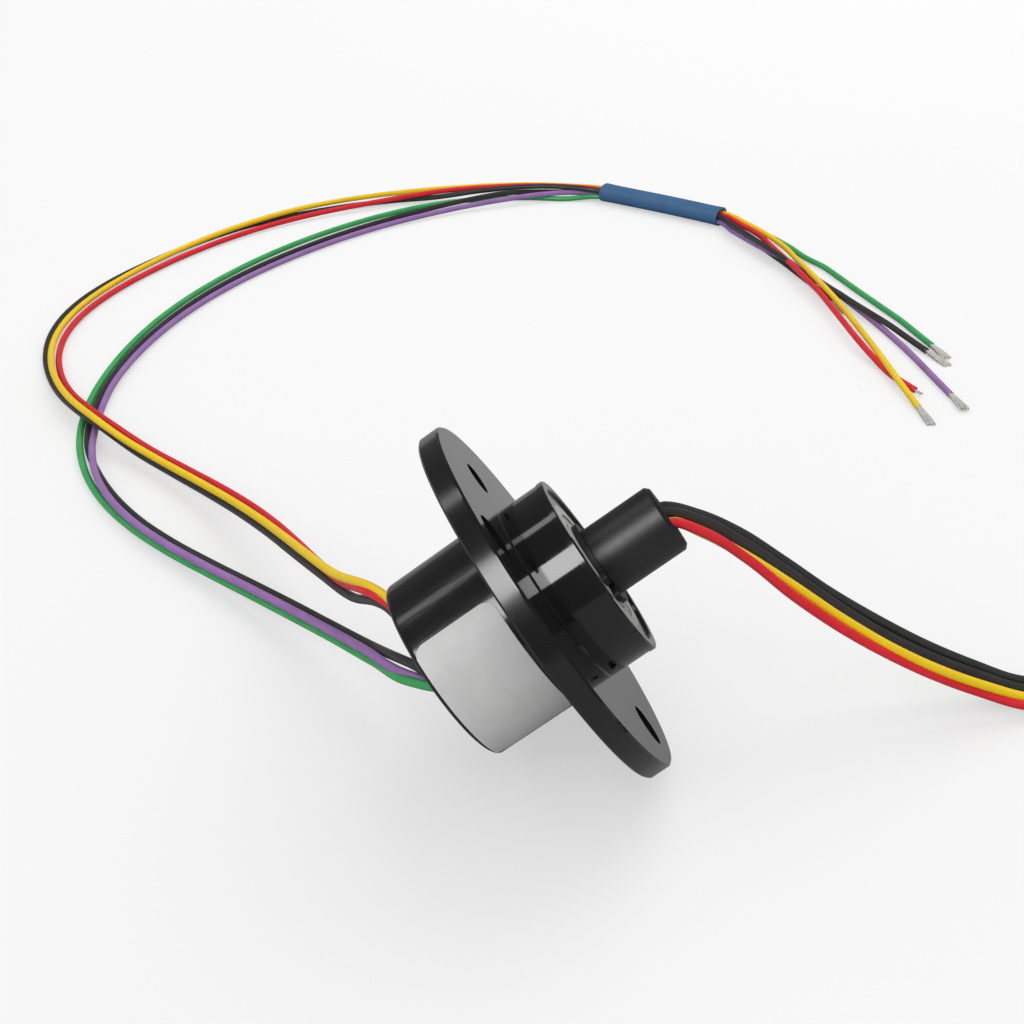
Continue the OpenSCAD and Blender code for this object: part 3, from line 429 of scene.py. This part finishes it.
def coilPath(column, level):
    # Clockwise from the top of the coil: x = r sin a, y = r cos a, where r steps inwards at the end
    # of the first turn, then the end curls in across the middle
    c, away = coil, column * lead["pitch"] * coil["loose"]
    turn = c["tailTurn"]
    last = 4 * math.pi - (turn - math.pi / 2) - c["tailStart"]
    a = np.linspace(0, last, c["points"])
    inwards = np.clip((a - 2 * math.pi + c["stepTurn"]) / c["stepTurn"], 0, 1)
    r = c["radius"] + away - c["step"] * ease(inwards)
    turns = np.stack([r * np.sin(a), r * np.cos(a), np.zeros(len(a))], 1)
    tip = levelWay(c["tailWay"] + c["tailFan"] * column)
    left = np.array([-tip[1], tip[0], 0.0])
    start = c["tailRadius"] * levelWay(turn)
    bend = start + levelWay(c["bendWay"]) * c["bendOut"] + away * c["bendSide"]
    length = c["tailLength"] - c["shorter"] * abs(column) - c["lowShorter"] * (level < 0)
    end = start + tip * length + left * away * c["tailSpread"]
    tangent = np.array([math.cos(a[-1]), -math.sin(a[-1]), 0])
    tail = smoothRoute([turns[-1], bend, end], tangent, tip, c["tailSteps"])
    p = np.vstack([turns, tail[1:]])
    p[:, :2] += c["centre"]
    p[:, 2] = c["low"] + level * lead["pitch"] / 2
    return p


def rotorPath(name):
    # Out of the plug in the nose, down to the surface and round the coil
    way = np.array(drops[name])
    root = way[0] - axisDir * lead["root"]
    p = np.vstack([root[None], smoothRoute(way, startWay(way, axisDir), [1, 0, 0], lead["dropSteps"])])
    turns = coilPath(*coilPlaces[name])
    # The last leg of the drop closes on to the first point of the coil
    gap = turns[0] - p[-1]
    share = np.clip((np.arange(len(p)) - len(p) + 1 + lead["closing"]) / lead["closing"], 0, 1)[:, None]
    p = p + gap * ease(share)
    return onSurface(evenRoute(np.vstack([p, turns[1:]]), lead["spacing"]), lead["diameter"])


# Finishes


def newMaterial(name):
    mat = bpy.data.materials.new(name)
    mat.use_nodes = True
    nodes = mat.node_tree.nodes
    nodes.clear()
    out = nodes.new("ShaderNodeOutputMaterial")
    shader = nodes.new("ShaderNodeBsdfPrincipled")
    mat.node_tree.links.new(shader.outputs[0], out.inputs[0])
    return mat, nodes, mat.node_tree.links, shader


def colourNoise(nodes, links, shader, low, high, scale, stretch=(1, 1, 1), source="Object"):
    # Base colour between two colours by a noise of the given size
    at = nodes.new("ShaderNodeTexCoord")
    turn = nodes.new("ShaderNodeMapping")
    turn.inputs["Scale"].default_value = stretch
    noise = nodes.new("ShaderNodeTexNoise")
    noise.inputs["Scale"].default_value = scale
    noise.inputs["Detail"].default_value = 3.0
    ramp = nodes.new("ShaderNodeValToRGB")
    first, last = ramp.color_ramp.elements
    first.position, last.position = 0.3, 0.7
    first.color, last.color = (*low, 1), (*high, 1)
    links.new(at.outputs[source], turn.inputs[0])
    links.new(turn.outputs[0], noise.inputs["Vector"])
    links.new(noise.outputs["Fac"], ramp.inputs[0])
    links.new(ramp.outputs[0], shader.inputs["Base Color"])
    return turn


def roughNoise(nodes, links, shader, turn, rough, scale, height, depth):
    # Roughness between two values, and a bump of the same grain
    noise = nodes.new("ShaderNodeTexNoise")
    noise.inputs["Scale"].default_value = scale
    noise.inputs["Detail"].default_value = 4.0
    span = nodes.new("ShaderNodeMapRange")
    span.inputs["To Min"].default_value, span.inputs["To Max"].default_value = rough
    links.new(turn.outputs[0], noise.inputs["Vector"])
    links.new(noise.outputs["Fac"], span.inputs[0])
    links.new(span.outputs[0], shader.inputs["Roughness"])
    if height:
        bump = nodes.new("ShaderNodeBump")
        bump.inputs["Strength"].default_value = height
        bump.inputs["Distance"].default_value = depth
        links.new(noise.outputs["Fac"], bump.inputs["Height"])
        links.new(bump.outputs[0], shader.inputs["Normal"])


def plainFinish(name, low, high, rough, scale, grain, height, depth=0.00005, metal=0.0, specular=0.5,
                source="Object", stretch=(1, 1, 1)):
    mat, nodes, links, shader = newMaterial(name)
    shader.inputs["Metallic"].default_value = metal
    shader.inputs["Specular IOR Level"].default_value = specular
    turn = colourNoise(nodes, links, shader, low, high, scale, stretch, source)
    roughNoise(nodes, links, shader, turn, rough, grain, height, depth)
    return mat


# name: both colours, both ends of the roughness, scale of the colour and of the fine grain,
# strength of the bump, then what else the finish has
finishValues = {
    "cap": ((0.009, 0.009, 0.0095), (0.012, 0.012, 0.0125), (0.08, 0.14), 200, 500, 0.0, {}),
    "shaft": ((0.01, 0.01, 0.0105), (0.015, 0.015, 0.0155), (0.36, 0.48), 300, 1800, 0.14, {"depth": 0.00004}),
    "label": ((0.66, 0.66, 0.655), (0.71, 0.71, 0.705), (0.45, 0.55), 300, 2500, 0.03, {"specular": 0.35}),
    # Near-black finish for the retaining ring: painted shade round the nose's base, not the ring's own steel
    # colour
    "clip": ((0.012, 0.012, 0.0125), (0.018, 0.018, 0.0185), (0.4, 0.5), 500, 4000, 0.03, {"specular": 0.3}),
    "bearing_steel": (
        (0.46, 0.46, 0.45), (0.54, 0.54, 0.52), (0.45, 0.55), 500, 4000, 0.03, {"specular": 0.4},
    ),
    "shield": ((0.42, 0.42, 0.41), (0.50, 0.50, 0.48), (0.45, 0.55), 500, 4000, 0.03, {"specular": 0.4}),
    "cage": ((0.5, 0.33, 0.12), (0.6, 0.42, 0.18), (0.3, 0.45), 500, 4000, 0.1, {"metal": 1.0}),
    "contact_gold": ((0.75, 0.5, 0.14), (0.85, 0.6, 0.2), (0.2, 0.3), 500, 4000, 0.05, {"metal": 1.0}),
    "potting": ((0.012, 0.011, 0.01), (0.03, 0.027, 0.024), (0.3, 0.5), 400, 900, 0.3, {"depth": 0.0001}),
    "brush_block": ((0.5, 0.42, 0.25), (0.6, 0.52, 0.32), (0.4, 0.6), 400, 2500, 0.1, {}),
    "barrier": ((0.02, 0.04, 0.025), (0.03, 0.06, 0.035), (0.4, 0.5), 400, 2500, 0.1, {}),
    "tie": ((0.72, 0.72, 0.7), (0.8, 0.8, 0.78), (0.35, 0.5), 300, 2500, 0.1, {}),
    "sleeve": ((0.034, 0.125, 0.28), (0.042, 0.145, 0.32), (0.42, 0.55), 200, 1500, 0.1, {}),
    "tinned_copper": ((0.7, 0.67, 0.6), (0.86, 0.84, 0.79), (0.3, 0.45), 900, 4000, 0.05, {"metal": 0.35}),
    "bare_copper": ((0.66, 0.46, 0.28), (0.8, 0.6, 0.4), (0.3, 0.45), 900, 4000, 0.05, {"metal": 0.35}),
}
insulation = {
    "black": ((0.034, 0.034, 0.035), (0.044, 0.044, 0.045)),
    "yellow": ((0.93, 0.62, 0.0), (0.98, 0.68, 0.004)),
    "red": ((0.74, 0.010, 0.022), (0.82, 0.016, 0.032)),
    "green": ((0.040, 0.40, 0.10), (0.055, 0.46, 0.13)),
    "violet": ((0.31, 0.15, 0.42), (0.36, 0.19, 0.48)),
}
insulationSkin = {"depth": 0.00003, "source": "UV", "stretch": (2, 1, 1)}

finish = {k: plainFinish(k, *values[:-1], **values[-1]) for k, values in finishValues.items()}
for colour, (low, high) in insulation.items():
    slot = "insulation_" + colour
    finish[slot] = plainFinish(slot, low, high, (0.3, 0.42), 0.25, 1.2, 0.1, **insulationSkin)

# Moulded black. Places are in metres along the axis, from the flange's front face
housing = {
    "low": (0.0075, 0.0075, 0.008),
    "high": (0.0105, 0.0105, 0.011),
    "grain": 120,
    "marks": 330,
    "markStretch": 0.25,  # along the axis
    "markSpan": (0.6, 1.4),  # how much the marks change the roughness
    "rough": (0.19, 0.075),  # barrel with the rim, then the boss with the flange's face
    "roughPlace": -0.0004,
    "bump": (0.22, 0.0),  # barrel, then all in front of it
    "bumpPlace": -0.00272,
    "bumpDepth": 0.0004,
    "blend": 0.00012,
}


def housingMaterial(v):
    # Polished boss and face, a softer rim, and satin with soft drag marks along the barrel
    mat, nodes, links, shader = newMaterial("housing")
    colourNoise(nodes, links, shader, v["low"], v["high"], v["grain"])
    at = nodes.new("ShaderNodeTexCoord")
    place = nodes.new("ShaderNodeCombineXYZ")

    def project(way):
        part = nodes.new("ShaderNodeVectorMath")
        part.operation = "DOT_PRODUCT"
        part.inputs[1].default_value = way
        links.new(at.outputs["Object"], part.inputs[0])
        return part.outputs["Value"]

    for k, way in enumerate((axisDir * v["markStretch"], sideDir, downDir)):
        links.new(project(way), place.inputs[k])
    along = project(axisDir)
    front = float(np.dot(lie["face"], axisDir)) * mm

    def zone(values, start):
        # One value behind a place on the axis and another in front of it
        step = nodes.new("ShaderNodeMapRange")
        step.inputs["From Min"].default_value = front + start
        step.inputs["From Max"].default_value = front + start + v["blend"]
        step.inputs["To Min"].default_value, step.inputs["To Max"].default_value = values
        links.new(along, step.inputs[0])
        return step.outputs[0]

    marks = nodes.new("ShaderNodeTexNoise")
    marks.inputs["Scale"].default_value = v["marks"]
    marks.inputs["Detail"].default_value = 3.0
    amount = nodes.new("ShaderNodeMapRange")
    amount.inputs["To Min"].default_value, amount.inputs["To Max"].default_value = v["markSpan"]
    rough = nodes.new("ShaderNodeMath")
    rough.operation = "MULTIPLY"
    bump = nodes.new("ShaderNodeBump")
    bump.inputs["Distance"].default_value = v["bumpDepth"]
    links.new(place.outputs[0], marks.inputs["Vector"])
    links.new(marks.outputs["Fac"], amount.inputs[0])
    links.new(zone(v["rough"], v["roughPlace"]), rough.inputs[0])
    links.new(amount.outputs[0], rough.inputs[1])
    links.new(rough.outputs[0], shader.inputs["Roughness"])
    links.new(zone(v["bump"], v["bumpPlace"]), bump.inputs["Strength"])
    links.new(marks.outputs["Fac"], bump.inputs["Height"])
    links.new(bump.outputs[0], shader.inputs["Normal"])
    return mat


finish["housing"] = housingMaterial(housing)


def dressNodes():
    # Every part takes the finish of its slot, apart from the retaining ring, which is darker than its own:
    # painted shade round the nose's base, with its ears as painted dark notches beside the nose
    slots = {s["node"]: s["material_slot"] for s in frame["record"]["subparts"]}
    # The retaining ring takes the near-black finish as painted shade
    slots["retaining_ring"] = "clip"
    for name, obj in frame["nodes"].items():
        mat = finish[slots[name]]
        if not obj.material_slots:
            obj.data.materials.append(mat)
        for materialSlot in obj.material_slots:
            materialSlot.material = mat


dressNodes()
print("finishes on", len(frame["nodes"]), "parts")

# Leads with their stripped ends

strip = {
    "length": 6.0,
    "count": 10,
    "shortName": "tip_red",  # this end is cut short and keeps two strands
    "shortLength": 2.2,
    "shortCount": 2,
    "inside": 0.5,  # length inside the insulation
    "strand": 0.25,
    "width": 1.35,  # over the spread strands
    "rootHalf": 0.3,  # half the width at the insulation
    "narrow": 0.3,  # share of the width that two strands take
    "layers": 0.42,  # between the two layers at the insulation
    "closer": 0.18,  # how much nearer they lie at the end
    "uneven": 0.4,  # greatest difference in length
    "sway": 0.12,
    "lift": 0.05,
    "rings": 12,
    "sides": 8,
    "statorSeed": 11,
    "rotorSeed": 31,
}


def strippedEnd(name, path, seed):
    # Strands side by side in two layers, each running on from the insulation and spreading by a sine
    t, side, up = (v[-1] for v in routeFrames(path))
    rand = np.random.default_rng(seed)
    short = name == strip["shortName"]
    n = strip["shortCount"] if short else strip["count"]
    length = strip["shortLength"] if short else strip["length"]
    k = np.arange(n)
    half = max(2, n // 2)
    across = (k % half - (half - 1) / 2) / ((half - 1) / 2)
    layer = np.where(k < half, -0.5, 0.5) * (n > 2)
    s = np.linspace(-strip["inside"], length, strip["rings"])
    share = np.clip(s / length, 0, 1)
    reach = length - rand.uniform(0, strip["uneven"], n)
    wide = strip["rootHalf"] + (strip["width"] / 2 - strip["rootHalf"]) * np.sin(share * math.pi / 2)
    wide = wide * (1 if n > 2 else strip["narrow"])
    sway = rand.uniform(-strip["sway"], strip["sway"], n)[:, None] * share
    sideways = across[:, None] * wide[None, :] * (1 + sway)
    lift = rand.uniform(-strip["lift"], strip["lift"], n)[:, None] * share
    high = layer[:, None] * (strip["layers"] - strip["closer"] * share)[None, :] + lift
    base = path[-1] + np.minimum(s[None, :], reach[:, None])[..., None] * t
    line = onSurface(base + sideways[..., None] * side + high[..., None] * up, strip["strand"])
    rings, sides = strip["rings"], strip["sides"]
    v = np.linspace(0, 2 * math.pi, sides, endpoint=False)
    skin = strip["strand"] / 2 * (np.cos(v)[:, None] * side + np.sin(v)[:, None] * up)
    quads = gridFaces(rings, sides, wrapCols=True)
    number = k * rings * sides
    allQuads = (quads[None] + number[:, None, None]).reshape(-1, 4)
    first = number[:, None] + np.arange(sides)
    last = first[:, ::-1] + (rings - 1) * sides
    obj = meshFrom(name, line[:, :, None, :] + skin, allQuads[:, ::-1], None, first.tolist() + last.tolist())
    obj.data.materials.append(finish["tinned_copper"])
    obj.data.materials.append(finish["bare_copper"])
    # One strand at the edge has lost its tin
    bare = np.zeros(len(obj.data.polygons), dtype=np.int32)
    bare[(half - 1) * len(quads):half * len(quads)] = 1
    obj.data.polygons.foreach_set("material_index", bare)
    return obj


def makeStatorLeads():
    for i, name in enumerate(ways):
        path = statorPath(name)
        slot = "insulation_" + name.split("_")[0]
        tip = strippedEnd("tip_" + name, path, strip["statorSeed"] + i)
        finishPiece(tip, "stator", "tinned_copper", None, "stator_lead_tips")
        wire = tubeMesh("lead_" + name, path, lead["diameter"] / 2)
        finishPiece(wire, "stator", slot, finish[slot], "stator_lead_" + name)
        print("stator lead", name, round(routeLength(path), 1), "mm")


def makeRotorLeads():
    for i, name in enumerate(drops):
        path = rotorPath(name)
        slot = "insulation_" + name.split("_")[0]
        tip = strippedEnd("tail_" + name, path, strip["rotorSeed"] + i)
        finishPiece(tip, "rotor", "tinned_copper", None, "rotor_lead_tails")
        wire = tubeMesh("rotor_lead_wire_" + name, path, lead["diameter"] / 2)
        finishPiece(wire, "rotor", slot, finish[slot], "rotor_lead_" + name, "rotor_lead_coil")
        print("rotor lead", name, round(routeLength(path), 1), "mm")


makeStatorLeads()
makeRotorLeads()

# Heat-shrink sleeve

sleeve = {
    "width": 4.8,
    "height": 3.8,
    "wall": 0.5,
    "power": 2 / 2.2,  # roundness of the section, as oblong takes it
    "sides": 48,
    "steps": 12,
    "spacing": 0.5,
    "flare": 0.03,  # how much wider each end is
    "flareLength": 0.06,  # as a share of the length
    "wave": 0.01,
    "waves": 9,  # radians of the wave along the length
    "wavePhase": 1.0,
    "rim": 0.08,  # rounding of each end's edge
}


def makeSleeve(v):
    # Rounded oblong carried along the sleeve's line, outside, then back along the inside
    path = evenRoute(smoothRoute(sleeveRoute, sleeveIn, sleeveOut, v["steps"]), v["spacing"])
    t, side, up = routeFrames(path)
    s = np.linspace(0, 1, len(path))
    x, z = oblong(v["sides"], v["power"])
    flare = 1 + v["flare"] * np.exp(-((s / v["flareLength"]) ** 2))
    flare = flare + v["flare"] * np.exp(-(((1 - s) / v["flareLength"]) ** 2))
    wave = 1 + v["wave"] * np.sin(v["waves"] * s + v["wavePhase"])

    def shell(inset, rows):
        a = (v["width"] / 2 - inset) * (flare * wave)[rows]
        b = (v["height"] / 2 - inset) * flare[rows]
        across = (a[:, None] * x)[..., None] * side[rows][:, None, :]
        return path[rows][:, None, :] + across + (b[:, None] * z)[..., None] * up[rows][:, None, :]

    rows = np.arange(len(path))
    outer, inner = shell(0, rows), shell(v["wall"], rows[::-1])
    lipStart, lipEnd = shell(v["rim"], rows[:1]), shell(v["rim"], rows[-1:])
    outer[0] += t[0] * v["rim"]
    outer[-1] -= t[-1] * v["rim"]
    shape = np.concatenate([lipStart, outer, lipEnd, inner])
    quads = gridFaces(len(shape), v["sides"], wrapRows=True, wrapCols=True)
    obj = meshFrom("sleeve", shape, quads[:, ::-1])
    return finishPiece(obj, "stator", "sleeve", finish["sleeve"], "heat_shrink_sleeve")


makeSleeve(sleeve)
print("sleeve made")

# Tie round the coil

tie = {
    "turn": math.radians(-140),  # where on the coil it sits
    "radius": 13.5,
    "halfWidth": 4.25,
    "low": 0.05,
    "high": 3.62,
    "band": 3.0,
    "thick": 0.45,
    "crown": 0.1,  # how much its middle stands out
    "power": 0.36,  # squareness of the section, as oblong takes it
    "sides": 64,
    "rows": 9,
}


def makeTie(v):
    # Flat band round the coil's section: an oblong swept across the band outside, then back across it inside
    x, z = oblong(v["sides"], v["power"])
    middle = (v["low"] + v["high"]) / 2
    a, b = v["halfWidth"], (v["high"] - v["low"]) / 2
    s = np.linspace(-1, 1, v["rows"])
    crown = v["crown"] * s**2 + v["crown"] * s**8
    across = np.concatenate([s, s[::-1]]) * v["band"] / 2
    inset = np.concatenate([crown, np.full(len(s), v["thick"])])
    out = np.array([math.cos(v["turn"]), math.sin(v["turn"])])
    along = np.array([-out[1], out[0]])
    flat = out * v["radius"] + ((a - inset)[:, None] * x)[..., None] * out + across[:, None, None] * along
    height = middle + (b - inset)[:, None] * z
    shape = np.concatenate([flat + coil["centre"], height[..., None]], -1)
    quads = gridFaces(len(shape), v["sides"], wrapRows=True, wrapCols=True)
    return finishPiece(meshFrom("tie", shape, quads), "rotor", "tie", finish["tie"], "coil_tie")


makeTie(tie)
print("tie made")

# Floor, world and lamps

studio = {
    "floorSize": 4.0,
    "floorColour": 0.42,
    "floorSpan": 0.005,  # how much lighter its grain becomes
    "floorGrain": 8,
    "floorRough": 0.9,
    "floorGlow": 0.50,
    "worldLight": 0.70,
    "worldMirror": 0.15,
    "worldSeen": 0.985,
    "middle": (0.0, 0.0, 0.02),  # where the lamps point
    # name, way to it from the middle, distance, long direction, size, radiance,
    # seen by matt surfaces, seen by mirrors
    "lamps": [
        ("key card", (-0.545, -0.560, 0.625), 0.7, (0.312, -0.833, -0.456), (0.281, 0.36), 12.0, False, True),
        ("strip card", (-0.606, 0.367, 0.705), 0.8, (-0.145, -0.945, 0.29), (0.106, 0.5), 3.5, False, True),
        ("soft lamp", (0.40, 0.55, 0.73), 1.1, (1, 0, 0), (1.0, 1.0), 1.5, True, False),
        ("front lamp", (-0.45, -0.70, 0.55), 1.1, (1, 0, 0), (0.9, 0.9), 1.3, True, False),
    ],
}


def makeFloor(v):
    h = v["floorSize"] / 2 / mm
    obj = meshFrom("floor", [[-h, -h, 0], [h, -h, 0], [h, h, 0], [-h, h, 0]], np.array([[0, 1, 2, 3]]))
    mat, nodes, links, shader = newMaterial("floor")
    low, high = (v["floorColour"],) * 3, (v["floorColour"] + v["floorSpan"],) * 3
    colourNoise(nodes, links, shader, low, high, v["floorGrain"])
    shader.inputs["Roughness"].default_value = v["floorRough"]
    shader.inputs["Specular IOR Level"].default_value = 0.0
    out = next(n for n in nodes if n.type == "OUTPUT_MATERIAL")
    path = nodes.new("ShaderNodeLightPath")
    glow = nodes.new("ShaderNodeEmission")
    seen = nodes.new("ShaderNodeMath")
    seen.operation = "MULTIPLY"
    seen.inputs[1].default_value = v["floorGlow"]
    add = nodes.new("ShaderNodeAddShader")
    links.new(path.outputs["Is Camera Ray"], seen.inputs[0])
    links.new(seen.outputs[0], glow.inputs["Strength"])
    links.new(shader.outputs[0], add.inputs[0])
    links.new(glow.outputs[0], add.inputs[1])
    links.new(add.outputs[0], out.inputs[0])
    obj.data.materials.append(mat)


def makeWorld(v):
    # Three strengths: for matt surfaces, for mirror rays and as the camera sees it
    world = bpy.data.worlds.new("studio")
    bpy.context.scene.world = world
    world.use_nodes = True
    nodes, links = world.node_tree.nodes, world.node_tree.links
    nodes.clear()
    out = nodes.new("ShaderNodeOutputWorld")
    sky = nodes.new("ShaderNodeBackground")
    path = nodes.new("ShaderNodeLightPath")
    mirror, seen = nodes.new("ShaderNodeMapRange"), nodes.new("ShaderNodeMapRange")
    mirror.inputs["To Min"].default_value = v["worldLight"]
    mirror.inputs["To Max"].default_value = v["worldMirror"]
    seen.inputs["To Max"].default_value = v["worldSeen"]
    sky.inputs["Color"].default_value = (1, 1, 1, 1)
    links.new(path.outputs["Is Glossy Ray"], mirror.inputs[0])
    links.new(path.outputs["Is Camera Ray"], seen.inputs[0])
    links.new(mirror.outputs[0], seen.inputs["To Min"])
    links.new(seen.outputs[0], sky.inputs["Strength"])
    links.new(sky.outputs[0], out.inputs[0])


def makeLamps(v):
    # Radiance L of a lamp of area A comes from a power of pi A L
    middle = Vector(v["middle"])
    for name, way, distance, along, size, radiance, matt, mirror in v["lamps"]:
        data = bpy.data.lights.new(name, "AREA")
        data.shape, data.size, data.size_y = "RECTANGLE", size[0], size[1]
        data.energy = math.pi * size[0] * size[1] * radiance
        lamp = bpy.data.objects.new(name, data)
        back = Vector(way).normalized()
        x = (Vector(along) - back * Vector(along).dot(back)).normalized()
        y = back.cross(x)
        turn = Matrix((x, y, back)).transposed().to_4x4()
        lamp.matrix_world = Matrix.Translation(middle + back * distance) @ turn
        lamp.visible_diffuse, lamp.visible_glossy = matt, mirror
        lamp.visible_camera = False
        bpy.context.scene.collection.objects.link(lamp)


makeFloor(studio)
makeWorld(studio)
makeLamps(studio)
print("studio made")
